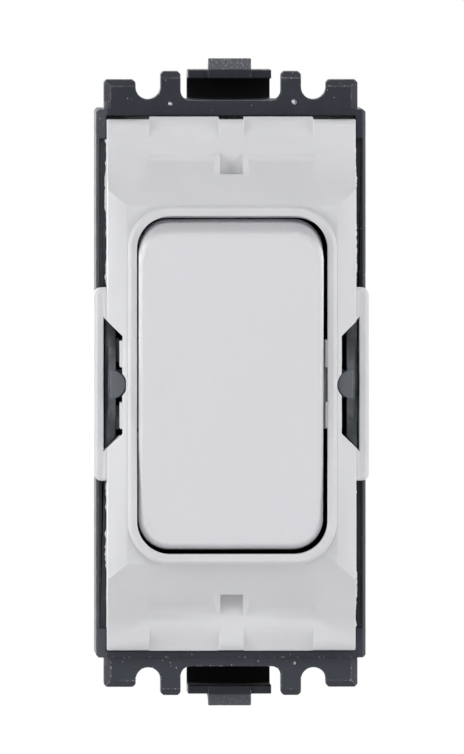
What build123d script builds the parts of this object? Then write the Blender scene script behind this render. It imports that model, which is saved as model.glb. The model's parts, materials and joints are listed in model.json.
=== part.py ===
from build123d import *

import os
from math import cos, radians, sin, sqrt

# Grid switch module: a rocker switch that clips into the grid frame of a wall plate.
# It is modelled lying on its back, X to the right, Y up the wall and Z out of the wall, and is
# stood upright at the end. The seat plane, where the end shoulders meet the grid frame, is Z = 0.
# Lengths are millimetres, and names ending in _reach, _foot or _head are half distances from
# the centre.

# Base housing
base_width = 24.55
base_length = 49.9
base_corner = 0.25
side_wall = 0.925
end_wall = 0.6
groove_width = 0.6
groove_depth = 0.5
wide_depth = 7.0
rear_inset = 0.975
rear_end_inset = 1.45
rear_corner = 1.6
rear_bevel = 0.6
rear_wall = 2.4
ledge_front = 0.3
ledge_width = 1.65
ledge_length = 2.05

# End shoulders of the base, measured outwards from its ends
shoulder_inset = 0.725
shoulder_depth = 3.2
shoulder_step = 0.2
outer_tooth = 2.7
inner_tooth = 3.45
inner_tooth_width = 1.82
notch_width = 2.27
notch_root = 0.9
cutout_width = 9.14
cutout_root = 0.8
cutout_corner = 0.9
tooth_corner = 0.25
tooth_bevel = 0.6

# Snap latch on each end
latch_width = 7.6
latch_arm = 0.8
latch_slot = 1.9
latch_bend_depth = 7.0
latch_tip_depth = 2.0
nose_width = 3.9
nose_height = 1.05
catch_depth = 1.6
nose_ramp = 3.0

# Front frame
frame_gap = 0.05
frame_wall = 1.2
band_front = 5.0
plateau_front = 8.5
end_flat = 3.2
ramp_length = 4.83
side_slope = 1.7
side_slope_drop = 1.05
ring_front = 9.3
ring_margin = 0.02
ring_side_margin = 0.125
ring_wall = 0.825
ring_end_wall = 0.9
ring_edge = 0.25
opening_corner = 3.0
collar_depth = 2.0
outer_pad_width = 3.85
centre_pad_width = 2.25
pad_length = 2.6
pad_edge = 0.7
pad_set_back = 0.25
pad_slot_depth = 1.5
end_drop = 0.9
cove_set_back = 0.3
cove_length = 2.1
land_width = 3.36
land_notch_width = 2.05
land_notch_length = 2.0

# Ears, straps and side windows of the frame
ear_overhang = 0.25
ear_length = 17.55
ear_front = 5.6
ear_corner = 0.7
ear_edge = 0.3
strap_length = 11.6
strap_depth = 4.8
strap_gap = 0.05
recess_wall = 0.225
snap_length = 5.0
snap_depth = 3.2
snap_rise = 2.0
snap_height = 0.65
snap_gap = 0.1
window_outer_length = 12.12
window_inner_length = 8.9
window_margin = 1.35

# Rocker bearing
pivot_front = 5.4
trunnion_radius = 1.55
trunnion_length = 1.1
bearing_gap = 0.05
cheek_gap = 0.275
cheek_proud = 0.23
cheek_span = 8.0
cheek_depth = 2.2
post_radius = 1.28
post_flat = 0.08
post_gap = 0.165
post_clearance = 0.1
post_front = 6.6
bracket_wall = 1.07
bracket_front = 4.0
bracket_gap = 0.15
gusset_width = 0.7
gusset_length = 2.2

# Rocker
rocker_gap = 0.275
rocker_end_gap = 0.15
rocker_play = 0.13
rocker_front = 10.2
rocker_edge = 0.5
rocker_wall = 1.2
rocker_skirt = 5.9
rocker_lobe_radius = 2.4
rocker_relief = 0.4
relief_gap = 0.7
rocker_tilt = 5.0
socket_radius = 2.7
socket_front = 5.8
socket_depth = 1.2

# Plunger and spring
plunger_radius = 1.75
plunger_slack = 0.08
plunger_top = 0.6
plunger_tip_radius = 1.5
plunger_tip_gap = 0.04
spigot_radius = 0.8
spigot_length = 1.5
spring_wire = 0.4
spring_slack = 0.12
spring_turns = 4

# See-saw and contacts
bar_axis_depth = 5.5
bar_width = 4.6
bar_thickness = 1.0
bar_lever = 10.0
bar_overhang = 1.9
bar_tilt = 8.5
bar_ear_radius = 0.6
bar_ear_length = 1.4
moving_head_radius = 1.7
moving_head = 0.7
moving_dome_radius = 6.0
moving_rivet_radius = 1.15
moving_rivet = 0.3
fixed_head_radius = 1.9
fixed_head = 0.5
contact_shank_radius = 0.9
contact_gap = 0.03
shank_gap = 0.01

# Strips, terminals and screws
strip_thickness = 0.75
strip_width = 3.4
saddle_gap = 0.45
saddle_length = 4.4
saddle_rise = 0.4
terminal_side_wall = 2.1
terminal_end_wall = 2.2
terminal_width = 7.0
terminal_length = 7.0
terminal_height = 8.4
terminal_corner = 0.8
terminal_slack = 0.1
bore_radius = 2.1
bore_depth = 3.3
entry_radius = 2.5
entry_flare = 0.6
screw_radius = 1.75
screw_length = 5.2
screw_gap = 0.05
screw_backed_off = 0.1
screw_slot = 0.7
screw_slot_depth = 1.0
access_radius = 2.2

STAND_UP = Rot(90, 0, 0)
SIDES = (-1, 1)
WIRE_SIDES = 6


def block(x0, x1, y0, y1, z0, z1):
    """A box given by its faces."""
    middle = Pos((x0 + x1) / 2, (y0 + y1) / 2, (z0 + z1) / 2)
    return middle * Box(abs(x1 - x0), abs(y1 - y0), abs(z1 - z0))


def both_ends(shape):
    """A shape at the upper end and its mirror image at the lower end."""
    return shape + mirror(shape, about=Plane.XZ)


def both_sides(shape):
    """A shape on the right and its mirror image on the left."""
    return shape + mirror(shape, about=Plane.YZ)


def across(face, x0, x1):
    """A face drawn in Y and Z, extruded from x0 to x1."""
    return Pos(x0, 0, 0) * extrude(Plane.YZ * face, x1 - x0)


def upright(face, z0, z1):
    """A face drawn in X and Y, extruded from z0 to z1."""
    return Pos(0, 0, z0) * extrude(face, z1 - z0)


def rod(radius, x0, x1, y, z):
    """A round rod along X."""
    return Pos((x0 + x1) / 2, y, z) * Rot(0, 90, 0) * Cylinder(radius, abs(x1 - x0))


def pin(radius, x, y, z0, z1):
    """A round pin along Z."""
    return Pos(x, y, (z0 + z1) / 2) * Cylinder(radius, abs(z1 - z0))


def tilted(shape, angle, front):
    """A shape turned about the X axis through the given height."""
    return Pos(0, 0, front) * Rot(angle, 0, 0) * Pos(0, 0, -front) * shape


# Heights that several pieces share
bar_axis = -bar_axis_depth
bar_top = bar_axis + bar_thickness / 2
bar_bottom = bar_axis - bar_thickness / 2
dome_centre = moving_dome_radius - moving_head - bar_thickness / 2
contact_reach = bar_lever * cos(radians(bar_tilt)) + dome_centre * sin(radians(bar_tilt))
dome_low = bar_axis - bar_lever * sin(radians(bar_tilt)) + dome_centre * cos(radians(bar_tilt))
contact_plane = dome_low - moving_dome_radius - contact_gap
strip_top = contact_plane - fixed_head
floor = strip_top - strip_thickness
terminal_rear = floor - terminal_height
bore_axis = floor - bore_depth
rear = terminal_rear - terminal_slack - rear_wall
comb_front = shoulder_depth - shoulder_step
frame_rear = shoulder_depth + frame_gap
cheek_front = plateau_front - frame_wall / 2

# Widths and lengths of the base
shoulder_width = base_width - 2 * shoulder_inset
seat_width = base_width - 2 * side_wall
seat_length = base_length - 2 * end_wall
cavity_width = seat_width - 2 * ledge_width
cavity_length = seat_length - 2 * ledge_length
rear_width = base_width - 2 * rear_inset
rear_length = base_length - 2 * rear_end_inset
outer_tip = base_length / 2 + outer_tooth
inner_tip = base_length / 2 + inner_tooth
notch_reach = base_length / 2 + notch_root
cutout_reach = base_length / 2 + cutout_root
arm_inner = cutout_reach + latch_slot
arm_outer = arm_inner + latch_arm
bend_rear = -latch_bend_depth - latch_slot / 2 - latch_arm

# Widths and lengths of the frame, which sits in the base
frame_width = seat_width - 2 * frame_gap
frame_length = seat_length - 2 * frame_gap
ramp_foot = frame_length / 2 - end_flat
ramp_head = ramp_foot - ramp_length
ramp_rise = (plateau_front - band_front) / ramp_length
pad_foot = frame_length / 2 - pad_length
zone_reach = frame_width / 2 - outer_pad_width
cove_foot = ramp_foot - cove_set_back
cove_head = cove_foot - cove_length
ring_width = frame_width - 2 * side_slope - 2 * ring_side_margin
ring_length = 2 * (ramp_head - ring_margin)
opening_width = ring_width - 2 * ring_wall
opening_length = ring_length - 2 * ring_end_wall
ear_width = base_width + 2 * ear_overhang
strap_outer = base_width / 2
recess_reach = seat_width / 2 + recess_wall
strap_reach = recess_reach + strap_gap
window_reach = frame_width / 2 - window_margin

# Places of the rocker, its bearing and the terminals
rocker_width = opening_width - 2 * rocker_gap
rocker_corner = opening_corner - rocker_gap
rocker_end_radius = opening_length / 2 - rocker_end_gap
bearing_radius = trunnion_radius + bearing_gap
cheek_inner = rocker_width / 2 - rocker_relief + cheek_gap
cheek_reach = window_reach + cheek_proud
post_tip = rocker_width / 2 + trunnion_length + post_gap
post_reach = post_tip + post_radius
terminal_offset = rear_width / 2 - terminal_side_wall - terminal_slack - terminal_width / 2
terminal_tail = rear_length / 2 - terminal_end_wall - terminal_slack
terminal_head = terminal_tail - terminal_length

# Terminals: side, end, name. The common and upper ones share the upper end.
terminals = {
    "common": (terminal_offset, 1),
    "upper": (-terminal_offset, 1),
    "lower": (0.0, -1),
}


def window_face(gap):
    """The trapezoid side window on the right, drawn smaller all round by a gap."""
    outer = window_outer_length / 2 - gap
    inner = window_inner_length / 2 - gap
    near = window_reach + gap
    far = strap_reach - gap
    return make_face(Polyline((near, -inner), (far, -outer), (far, outer), (near, inner), close=True))


# Base housing
def edge_cut(edge):
    """The corner that a bevel takes off an edge of the comb, drawn across that edge."""
    near = edge - tooth_bevel
    far = edge + tooth_bevel
    outline = Polyline((near, comb_front), (far, comb_front), (far, comb_front - 2 * tooth_bevel), close=True)
    return make_face(outline)


def shoulder():
    """The comb at the upper end: two teeth each side of the latch cut-out."""
    root = base_length / 2
    notch_centre = cutout_width / 2 + inner_tooth_width + notch_width / 2
    comb = Pos(0, root + inner_tooth / 2) * Rectangle(shoulder_width, inner_tooth)
    cutout_height = inner_tip - cutout_reach
    comb -= Pos(0, inner_tip) * RectangleRounded(cutout_width, 2 * cutout_height, cutout_corner)
    for side in SIDES:
        notch_bottom = Pos(side * notch_centre, notch_reach + notch_width / 2)
        comb -= notch_bottom * Circle(notch_width / 2)
        comb -= notch_bottom * Pos(0, inner_tooth / 2) * Rectangle(notch_width, inner_tooth)
        outer_tooth_width = shoulder_width / 2 - notch_centre
        comb -= Pos(side * (notch_centre + outer_tooth_width / 2), outer_tip + inner_tooth / 2) * Rectangle(
            outer_tooth_width, inner_tooth
        )
    tips = comb.vertices().filter_by(lambda v: v.Y > outer_tip - tooth_corner)
    comb = upright(chamfer(tips, tooth_corner), 0, comb_front)
    bevels = across(edge_cut(inner_tip), 0, notch_centre)
    bevels += across(edge_cut(outer_tip), notch_centre, shoulder_width / 2)
    flank = Pos(0, root, 0) * extrude(Plane.XZ * edge_cut(shoulder_width / 2), -inner_tooth)
    return comb - both_sides(bevels + flank)


def latch():
    """The U-shaped snap arm at the upper end, with its catch nose."""
    middle = cutout_reach + latch_slot / 2
    arm = block(-latch_width / 2, latch_width / 2, arm_inner, arm_outer, -latch_bend_depth, -latch_tip_depth)
    bend_ring = Circle(latch_slot / 2 + latch_arm) - Circle(latch_slot / 2)
    bend_half = bend_ring & Pos(0, -arm_outer) * Rectangle(2 * arm_outer, 2 * arm_outer)
    bend = across(Pos(middle, -latch_bend_depth) * bend_half, -latch_width / 2, latch_width / 2)
    nose_outline = Polyline(
        (arm_inner, -catch_depth),
        (arm_outer + nose_height, -catch_depth),
        (arm_outer + nose_height, -catch_depth - nose_height),
        (arm_outer, -catch_depth - nose_ramp),
        (arm_inner, -catch_depth - nose_ramp),
        close=True,
    )
    nose = across(make_face(nose_outline), -nose_width / 2, nose_width / 2)
    return arm + bend + nose


def bearing_post():
    """The half-round post and bracket on the right wall, which close the rocker's bearing."""
    flat = post_reach + post_flat
    half_round = Pos(post_reach, 0) * Circle(post_radius) & Pos(flat - post_radius, 0) * Rectangle(
        2 * post_radius, 2 * post_radius
    )
    post = upright(half_round, floor / 2, post_front)
    bracket_face = window_face(bracket_gap) & Pos(recess_reach - bracket_wall / 2, 0) * Rectangle(
        bracket_wall, window_outer_length
    )
    bracket = upright(bracket_face, ledge_front, bracket_front)
    cradle_top = pivot_front - bearing_radius
    cradle_inner = cheek_inner + cheek_gap
    cradle_outer = cavity_width / 2 + bearing_gap
    cradle_drop = cradle_outer - cradle_inner
    cradle_outline = Polyline(
        (cradle_inner, cradle_top),
        (flat - post_radius / 2, cradle_top),
        (flat - post_radius / 2, floor / 2),
        (cradle_outer, floor / 2 - cradle_drop),
        (cradle_inner, floor / 2),
        close=True,
    )
    cradle = Pos(0, post_radius, 0) * extrude(Plane.XZ * make_face(cradle_outline), 2 * post_radius)
    gusset_outline = Polyline(
        (-post_radius - gusset_length, bracket_front),
        (0, bracket_front + gusset_length),
        (post_radius + gusset_length, bracket_front),
        close=True,
    )
    gusset_outer = recess_reach - bracket_wall + gusset_width
    gusset = across(make_face(gusset_outline), recess_reach - bracket_wall, gusset_outer)
    return post + bracket + cradle + gusset


def snap_wedge():
    """The wedge on the right wall that the frame's strap snaps over."""
    outline = Polyline(
        (recess_reach - strap_gap, -snap_depth),
        (recess_reach + snap_height, -snap_depth),
        (recess_reach, -snap_depth + snap_rise),
        (recess_reach - strap_gap, -snap_depth + snap_rise),
        close=True,
    )
    return Pos(0, snap_length / 2, 0) * extrude(Plane.XZ * make_face(outline), snap_length)


def terminal_pocket(x, end):
    """The pocket of one terminal, with its conductor entry and screw access."""
    width = terminal_width + 2 * terminal_slack
    near = end * (terminal_head - terminal_slack)
    far = end * (terminal_head + terminal_length + terminal_slack)
    pocket = block(x - width / 2, x + width / 2, near, far, terminal_rear - terminal_slack, floor)
    wall_end = end * rear_length / 2
    along = Plane((x, wall_end, bore_axis), x_dir=(1, 0, 0), z_dir=(0, -end, 0))
    entry = extrude(along * Circle(entry_radius), rear_length / 2 - terminal_head)
    flare = along * Pos(0, 0, entry_flare / 2) * Cone(entry_radius + entry_flare, entry_radius, entry_flare)
    access = pin(access_radius, x, screw_reach(end), rear, terminal_rear)
    return pocket + entry + flare + access


def screw_reach(end):
    """Where along Y the terminal screw stands."""
    return end * (terminal_head + terminal_length / 2)


def base_housing():
    """The dark base: an open tray with terminal pockets behind and a comb and latch at each end."""
    wide = block(
        -base_width / 2, base_width / 2, -base_length / 2, base_length / 2, -wide_depth, shoulder_depth
    )
    wide = chamfer(wide.edges().filter_by(Axis.Z), base_corner)
    back = upright(RectangleRounded(rear_width, rear_length, rear_corner), rear, -wide_depth)
    back = chamfer(back.faces().sort_by(Axis.Z)[0].edges(), rear_bevel)
    latch_root_width = latch_width + 2 * latch_arm
    latch_root = block(
        -latch_root_width / 2, latch_root_width / 2, cavity_length / 2, cutout_reach, bend_rear, 0
    )
    body = wide + back + both_ends(latch_root + shoulder() + latch())

    seat = block(
        -seat_width / 2, seat_width / 2, -seat_length / 2, seat_length / 2, ledge_front, shoulder_depth
    )
    groove = block(
        seat_width / 2,
        seat_width / 2 + groove_width,
        -cavity_length / 2,
        cavity_length / 2,
        shoulder_depth - groove_depth,
        shoulder_depth,
    )
    cavity = block(
        -cavity_width / 2, cavity_width / 2, -cavity_length / 2, cavity_length / 2, floor, ledge_front
    )
    recess_length = strap_length + 2 * bracket_gap
    recess = block(
        recess_reach,
        base_width / 2,
        -recess_length / 2,
        recess_length / 2,
        -strap_depth - bracket_gap,
        shoulder_depth,
    )
    body -= seat + cavity + both_sides(groove + recess)
    for x, end in terminals.values():
        body -= terminal_pocket(x, end)
    return body + both_sides(bearing_post() + snap_wedge())


# Front frame
def end_relief():
    """What the upper end of the frame loses between its pads, and at the ends of its pads."""
    end = frame_length / 2
    above = band_front + end_drop
    fall = TangentArc((pad_foot, band_front), (end, band_front - end_drop), tangent=(1, 0))
    rest = Polyline((end, band_front - end_drop), (end, above), (pad_foot, above), (pad_foot, band_front))
    zone = across(make_face([fall, rest]), centre_pad_width / 2, zone_reach)
    tip = end - pad_set_back
    slot_rear = shoulder_depth - pad_slot_depth
    roll = CenterArc((tip - pad_edge, band_front - pad_edge), pad_edge, 0, 90)
    corner = Polyline(
        (tip - pad_edge, band_front),
        (end, band_front),
        (end, slot_rear),
        (tip, slot_rear),
        (tip, band_front - pad_edge),
    )
    pad_end = make_face([roll, corner])
    pad_ends = across(pad_end, 0, centre_pad_width / 2) + across(pad_end, zone_reach, frame_width / 2)
    return both_sides(zone + pad_ends)


def ramp_relief():
    """What the upper ramp loses: a cove each side of the centre land, and the notch in the land."""
    head_front = band_front + (ramp_foot - cove_head) * ramp_rise
    sweep_up = TangentArc((cove_head, head_front), (cove_foot, band_front), tangent=(1, -ramp_rise))
    rest = Polyline(
        (cove_foot, band_front), (ramp_foot, band_front), (ramp_foot, head_front), (cove_head, head_front)
    )
    cove = across(make_face([sweep_up, rest]), land_width / 2, zone_reach)
    notch_head = ramp_foot - land_notch_length
    notch = block(0, land_notch_width / 2, notch_head, ramp_foot, band_front, plateau_front)
    return both_sides(cove + notch)


def ear_and_strap():
    """The right ear, with the strap that runs down outside the base wall."""
    ear_face = Pos(ear_width / 4, 0) * Rectangle(ear_width / 2, ear_length)
    outer = ear_face.vertices().group_by(Axis.X)[-1]
    ear_face = fillet(outer, ear_corner)
    ear = upright(ear_face, frame_rear, ear_front)
    rim = ear.faces().sort_by(Axis.Z)[-1].edges().filter_by(Axis.Y).sort_by(Axis.X)[-1]
    ear = chamfer(rim, ear_edge)
    ear &= block(frame_width / 2 - frame_wall, ear_width / 2, -ear_length, ear_length, frame_rear, ear_front)
    strap = block(
        strap_reach, strap_outer, -strap_length / 2, strap_length / 2, -strap_depth, frame_rear
    )
    strap -= block(
        strap_reach,
        strap_outer,
        -snap_length / 2 - snap_gap,
        snap_length / 2 + snap_gap,
        -snap_depth - snap_gap,
        -snap_depth + snap_rise + snap_gap,
    )
    return ear + strap


def bearing_cheeks():
    """The fork on the right that the rocker's trunnion turns in, open at the back."""
    rear_face = pivot_front - cheek_depth
    cheeks = block(cheek_inner, cheek_reach, -cheek_span / 2, cheek_span / 2, rear_face, cheek_front)
    cheeks -= rod(bearing_radius, cheek_inner, cheek_reach, 0, pivot_front)
    cheeks -= block(cheek_inner, cheek_reach, -bearing_radius, bearing_radius, rear_face, pivot_front)
    return cheeks - block(
        window_reach, cheek_reach, -bearing_radius, bearing_radius, pivot_front, cheek_front
    )


def frame_profile(inset, rear_face):
    """The frame's long section, drawn inwards by an inset."""
    end = frame_length / 2 - inset
    foot = ramp_foot - inset * (sqrt(1 + ramp_rise**2) - 1) / ramp_rise
    head = ramp_head - inset * (sqrt(1 + ramp_rise**2) - 1) / ramp_rise
    band = band_front - inset
    plateau = plateau_front - inset
    half = [(head, plateau), (foot, band), (end, band), (end, rear_face)]
    other = [(-y, z) for y, z in reversed(half)]
    return make_face(Polyline(*half, *other, close=True))


def front_frame():
    """The white frame: ramped ends, a ring round the opening, ears and bearing cheeks."""
    half_width = frame_width / 2
    shell = across(frame_profile(0, ledge_front), -half_width, half_width)
    slope_outline = Polyline(
        (half_width, plateau_front - side_slope_drop),
        (half_width, plateau_front),
        (half_width - side_slope, plateau_front),
        close=True,
    )
    slope_length = 2 * ramp_foot
    slope = Pos(0, slope_length / 2, 0) * extrude(Plane.XZ * make_face(slope_outline), slope_length)
    shell -= both_sides(slope) + both_ends(end_relief() + ramp_relief())

    hollow_reach = half_width - frame_wall
    shell -= across(frame_profile(frame_wall, ledge_front), -hollow_reach, hollow_reach)
    ring_corner = opening_corner + ring_wall
    ring_outline = RectangleRounded(ring_width, ring_length, ring_corner)
    ring = upright(ring_outline, ring_front - collar_depth, ring_front)
    shell += chamfer(ring.faces().sort_by(Axis.Z)[-1].edges(), ring_edge)
    shell -= upright(
        RectangleRounded(opening_width, opening_length, opening_corner), ledge_front, ring_front
    )
    window = upright(window_face(0), ledge_front, plateau_front)
    post_room = pin(post_radius + post_clearance, post_reach, 0, ledge_front, plateau_front)
    post_room &= block(0, strap_reach, -cheek_span / 2, cheek_span / 2, ledge_front, plateau_front)
    shell += both_sides(ear_and_strap())
    shell -= both_sides(window)
    shell += both_sides(bearing_cheeks())
    return shell - both_sides(post_room)


# Rocker
def rocker_profile(inset, rear_face):
    """The rocker's long section: tapered ends with both edges on one circle about the pivot."""
    radius = rocker_end_radius - inset
    heights = (rocker_front - inset, rear_face)
    half = [(sqrt(radius**2 - (z - pivot_front) ** 2), z) for z in heights]
    other = [(-y, z) for y, z in reversed(half)]
    return make_face(Polyline(*half, *other, close=True))


def rocker():
    """The white rocker, level, with its trunnions and plunger socket."""
    half = rocker_width / 2
    inner = half - rocker_wall
    relieved = half - rocker_relief
    shell = across(rocker_profile(0, rocker_skirt), -half, half)
    ends = shell.faces().sort_by(Axis.Y)
    corners = (ends[0].edges() + ends[-1].edges()).filter_by(lambda e: abs(e.center().X) > half / 2)
    shell = fillet(corners, rocker_corner)
    shell = chamfer(shell.faces().sort_by(Axis.Z)[-1].edges(), rocker_edge)
    shell -= across(rocker_profile(rocker_wall, rocker_skirt), -inner, inner)
    relief_reach = (cheek_span + relief_gap) / 2
    relief = block(relieved, half, -relief_reach, relief_reach, rocker_skirt, cheek_front + relief_gap)
    shell -= both_sides(relief)
    lobe = rod(rocker_lobe_radius, inner, relieved, 0, pivot_front)
    lobe += block(
        inner, relieved, -rocker_lobe_radius, rocker_lobe_radius, pivot_front, rocker_front - rocker_wall
    )
    trunnion = rod(trunnion_radius, relieved, half + trunnion_length, 0, pivot_front)
    shell += both_sides(lobe + trunnion)
    socket = pin(socket_radius, 0, 0, -socket_depth, rocker_front - rocker_wall / 2)
    return shell + socket - pin(plunger_radius + plunger_slack, 0, 0, -socket_depth, socket_front)


# Plunger and its spring, drawn with the rocker level
def plunger():
    """The acetal plunger: a round-nosed pin with a spigot for the spring."""
    tip_centre = bar_top + plunger_tip_gap + plunger_tip_radius
    body = pin(plunger_radius, 0, 0, tip_centre, plunger_top)
    nose = rod(plunger_tip_radius, -plunger_tip_radius, plunger_tip_radius, 0, tip_centre)
    nose &= pin(plunger_tip_radius, 0, 0, tip_centre - plunger_tip_radius, tip_centre)
    return body + nose + pin(spigot_radius, 0, 0, plunger_top, plunger_top + spigot_length)


def plunger_spring():
    """The compression spring between the plunger and the end of its socket."""
    height = socket_front - plunger_top - spring_wire
    mean_radius = plunger_radius + plunger_slack - spring_slack - spring_wire / 2
    path = Helix(height / spring_turns, height, mean_radius)
    start = Plane(path @ 0, z_dir=path % 0)
    coil = sweep(start * RegularPolygon(spring_wire / 2, WIRE_SIDES), path=path)
    return Pos(0, 0, plunger_top + spring_wire / 2) * coil


# See-saw and contacts
def contact_bar():
    """The copper see-saw, level, with its two round ears."""
    reach = bar_lever + bar_overhang
    bar = block(-bar_width / 2, bar_width / 2, -reach, reach, bar_bottom, bar_top)
    bar = chamfer(bar.edges().filter_by(Axis.Z), bar_width / 4)
    side = bar_width / 2
    ear = rod(bar_ear_radius, side - bar_ear_radius, side + bar_ear_length, 0, bar_axis)
    for end in SIDES:
        bar -= pin(contact_shank_radius + shank_gap, 0, end * bar_lever, bar_bottom, bar_top)
    return bar + both_sides(ear)


def moving_contact(end):
    """A silver rivet through the see-saw, with its rear face rolled round."""
    y = end * bar_lever
    head_rear = bar_bottom - moving_head
    head = pin(moving_head_radius, 0, y, head_rear, bar_bottom)
    head &= rod(
        moving_dome_radius, -moving_head_radius, moving_head_radius, y, head_rear + moving_dome_radius
    )
    shank = pin(contact_shank_radius, 0, y, bar_bottom, bar_top)
    return head + shank + pin(moving_rivet_radius, 0, y, bar_top, bar_top + moving_rivet)


def fixed_contact(end):
    """A silver rivet through a strip."""
    y = end * contact_reach
    head = pin(fixed_head_radius, 0, y, strip_top, contact_plane)
    return head + pin(contact_shank_radius, 0, y, floor, strip_top)


# Strips
def strip(*spans):
    """Flat strip on the floor, made of overlapping rectangles given by their edges."""
    solid = Part()
    for x0, x1, y0, y1 in spans:
        solid += block(x0, x1, y0, y1, floor, strip_top)
    return solid


def contact_hole(end):
    """The rivet hole of a fixed contact."""
    return pin(contact_shank_radius + shank_gap, 0, end * contact_reach, floor, strip_top)


def common_strip():
    """Brass strip from the common terminal, with the saddle that the see-saw's ears sit in."""
    inner = bar_width / 2 + saddle_gap
    outer = inner + strip_thickness
    half = saddle_length / 2
    far = terminal_head + terminal_length
    lane = (terminal_offset - strip_width / 2, terminal_offset + strip_width / 2, -half, far)
    flat = strip((-outer, terminal_offset, -half, half), lane)
    arm = block(inner, outer, -half, half, floor, bar_axis + saddle_rise)
    notch_radius = bar_ear_radius + bearing_gap
    arm -= rod(notch_radius, inner, outer, 0, bar_axis)
    arm -= block(inner, outer, -notch_radius, notch_radius, bar_axis, bar_axis + saddle_rise)
    return flat + both_sides(arm)


def upper_strip():
    """Brass strip from the upper fixed contact to its terminal on the left."""
    far = terminal_head + terminal_length
    near = contact_reach - fixed_head_radius
    pad = (-terminal_offset, fixed_head_radius, near, contact_reach + fixed_head_radius)
    lane = (-terminal_offset - strip_width / 2, -terminal_offset + strip_width / 2, near, far)
    return strip(pad, lane) - contact_hole(1)


def lower_strip():
    """Brass strip from the lower fixed contact straight to its terminal."""
    far = terminal_head + terminal_length
    near = contact_reach - fixed_head_radius
    return strip((-fixed_head_radius, fixed_head_radius, -far, -near)) - contact_hole(-1)


# Terminals and screws
def terminal(x, end):
    """A brass pillar terminal, bored for the conductor and for its screw."""
    near = end * terminal_head
    far = end * (terminal_head + terminal_length)
    pillar = block(x - terminal_width / 2, x + terminal_width / 2, near, far, terminal_rear, floor)
    pillar = chamfer(pillar.edges().filter_by(Axis.Y), terminal_corner)
    middle = Pos(x, screw_reach(end), bore_axis)
    pillar -= middle * Rot(90, 0, 0) * Cylinder(bore_radius, terminal_length)
    return pillar - pin(screw_radius + screw_gap, x, screw_reach(end), terminal_rear, bore_axis)


def terminal_screw(x, end):
    """A slotted headless screw, backed off so that the conductor bore is clear."""
    tip = bore_axis - bore_radius - screw_backed_off
    screw = pin(screw_radius, x, screw_reach(end), tip - screw_length, tip)
    y = screw_reach(end)
    return screw - block(
        x - screw_radius,
        x + screw_radius,
        y - screw_slot / 2,
        y + screw_slot / 2,
        tip - screw_length,
        tip - screw_length + screw_slot_depth,
    )


# The moving pieces in the photographed pose: the rocker's lower end pressed in
def on_rocker(shape):
    """A piece drawn with the rocker level, moved to its rest pose and side play."""
    return Pos(-rocker_play, 0, 0) * tilted(shape, rocker_tilt, pivot_front)


def on_bar(shape):
    """A piece drawn with the see-saw level, moved to its rest pose."""
    return tilted(shape, -bar_tilt, bar_axis)


nodes = {
    "base_housing": base_housing(),
    "front_frame": front_frame(),
    "rocker": on_rocker(rocker()),
    "plunger": on_rocker(plunger()),
    "plunger_spring": on_rocker(plunger_spring()),
    "contact_bar": on_bar(contact_bar()),
    "moving_contact_upper": on_bar(moving_contact(1)),
    "moving_contact_lower": on_bar(moving_contact(-1)),
    "fixed_contact_upper": fixed_contact(1),
    "fixed_contact_lower": fixed_contact(-1),
    "common_strip": common_strip(),
    "upper_strip": upper_strip(),
    "lower_strip": lower_strip(),
}
for name, (x, end) in terminals.items():
    nodes[name + "_terminal"] = terminal(x, end)
    nodes[name + "_screw"] = terminal_screw(x, end)

os.makedirs("parts", exist_ok=True)
for name, solid in nodes.items():
    export_step(STAND_UP * solid, f"parts/{name}.step")
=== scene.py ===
import bpy
import bmesh
import json
import random
from math import cos, pi, radians, sin
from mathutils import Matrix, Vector


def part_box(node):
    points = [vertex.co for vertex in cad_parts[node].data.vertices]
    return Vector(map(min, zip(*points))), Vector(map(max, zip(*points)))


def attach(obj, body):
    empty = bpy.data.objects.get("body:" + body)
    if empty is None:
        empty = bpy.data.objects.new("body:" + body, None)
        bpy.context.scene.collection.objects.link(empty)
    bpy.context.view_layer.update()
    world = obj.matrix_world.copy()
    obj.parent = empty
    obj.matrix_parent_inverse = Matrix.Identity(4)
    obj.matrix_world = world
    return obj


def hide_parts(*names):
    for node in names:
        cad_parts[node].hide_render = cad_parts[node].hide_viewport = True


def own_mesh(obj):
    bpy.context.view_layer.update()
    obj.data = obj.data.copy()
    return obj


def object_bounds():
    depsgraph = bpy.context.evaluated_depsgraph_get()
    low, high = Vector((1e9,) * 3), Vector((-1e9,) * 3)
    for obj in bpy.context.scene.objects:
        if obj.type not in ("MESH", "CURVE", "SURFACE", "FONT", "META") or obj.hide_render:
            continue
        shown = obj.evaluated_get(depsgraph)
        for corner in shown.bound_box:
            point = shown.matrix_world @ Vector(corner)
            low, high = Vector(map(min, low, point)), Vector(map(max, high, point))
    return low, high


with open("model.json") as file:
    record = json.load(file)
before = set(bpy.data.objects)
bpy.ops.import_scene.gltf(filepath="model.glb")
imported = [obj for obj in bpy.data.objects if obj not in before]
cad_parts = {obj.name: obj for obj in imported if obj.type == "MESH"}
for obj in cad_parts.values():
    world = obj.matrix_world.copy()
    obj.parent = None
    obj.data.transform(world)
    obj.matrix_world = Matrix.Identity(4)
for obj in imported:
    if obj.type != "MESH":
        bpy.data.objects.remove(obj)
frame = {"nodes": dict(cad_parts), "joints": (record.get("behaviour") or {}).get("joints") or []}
cad_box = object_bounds()
scene = bpy.context.scene
scene.view_settings.view_transform = "Standard"


# Camera: a long lens square to the front of the module, a touch to the left of it and above.
# The picture is 754 pixels high, and 11 of them are one millimetre.
MM = 0.001
picture_pixels, pixels_per_mm = 754, 11.0
camera_left, camera_up, camera_distance = 1.3, 1.6, 2.5
look_at = Vector((0.06, -5.0, 0.64)) * MM


def aim(obj, target):
    """Turns a camera or lamp to look at a point."""
    obj.rotation_euler = (Vector(target) - obj.location).to_track_quat("-Z", "Y").to_euler()


def away(left, up, distance):
    """A point at that many degrees to the left of the front and above it."""
    side, rise = radians(left), radians(up)
    return distance * Vector((-sin(side) * cos(rise), -cos(side) * cos(rise), sin(rise)))


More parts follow.
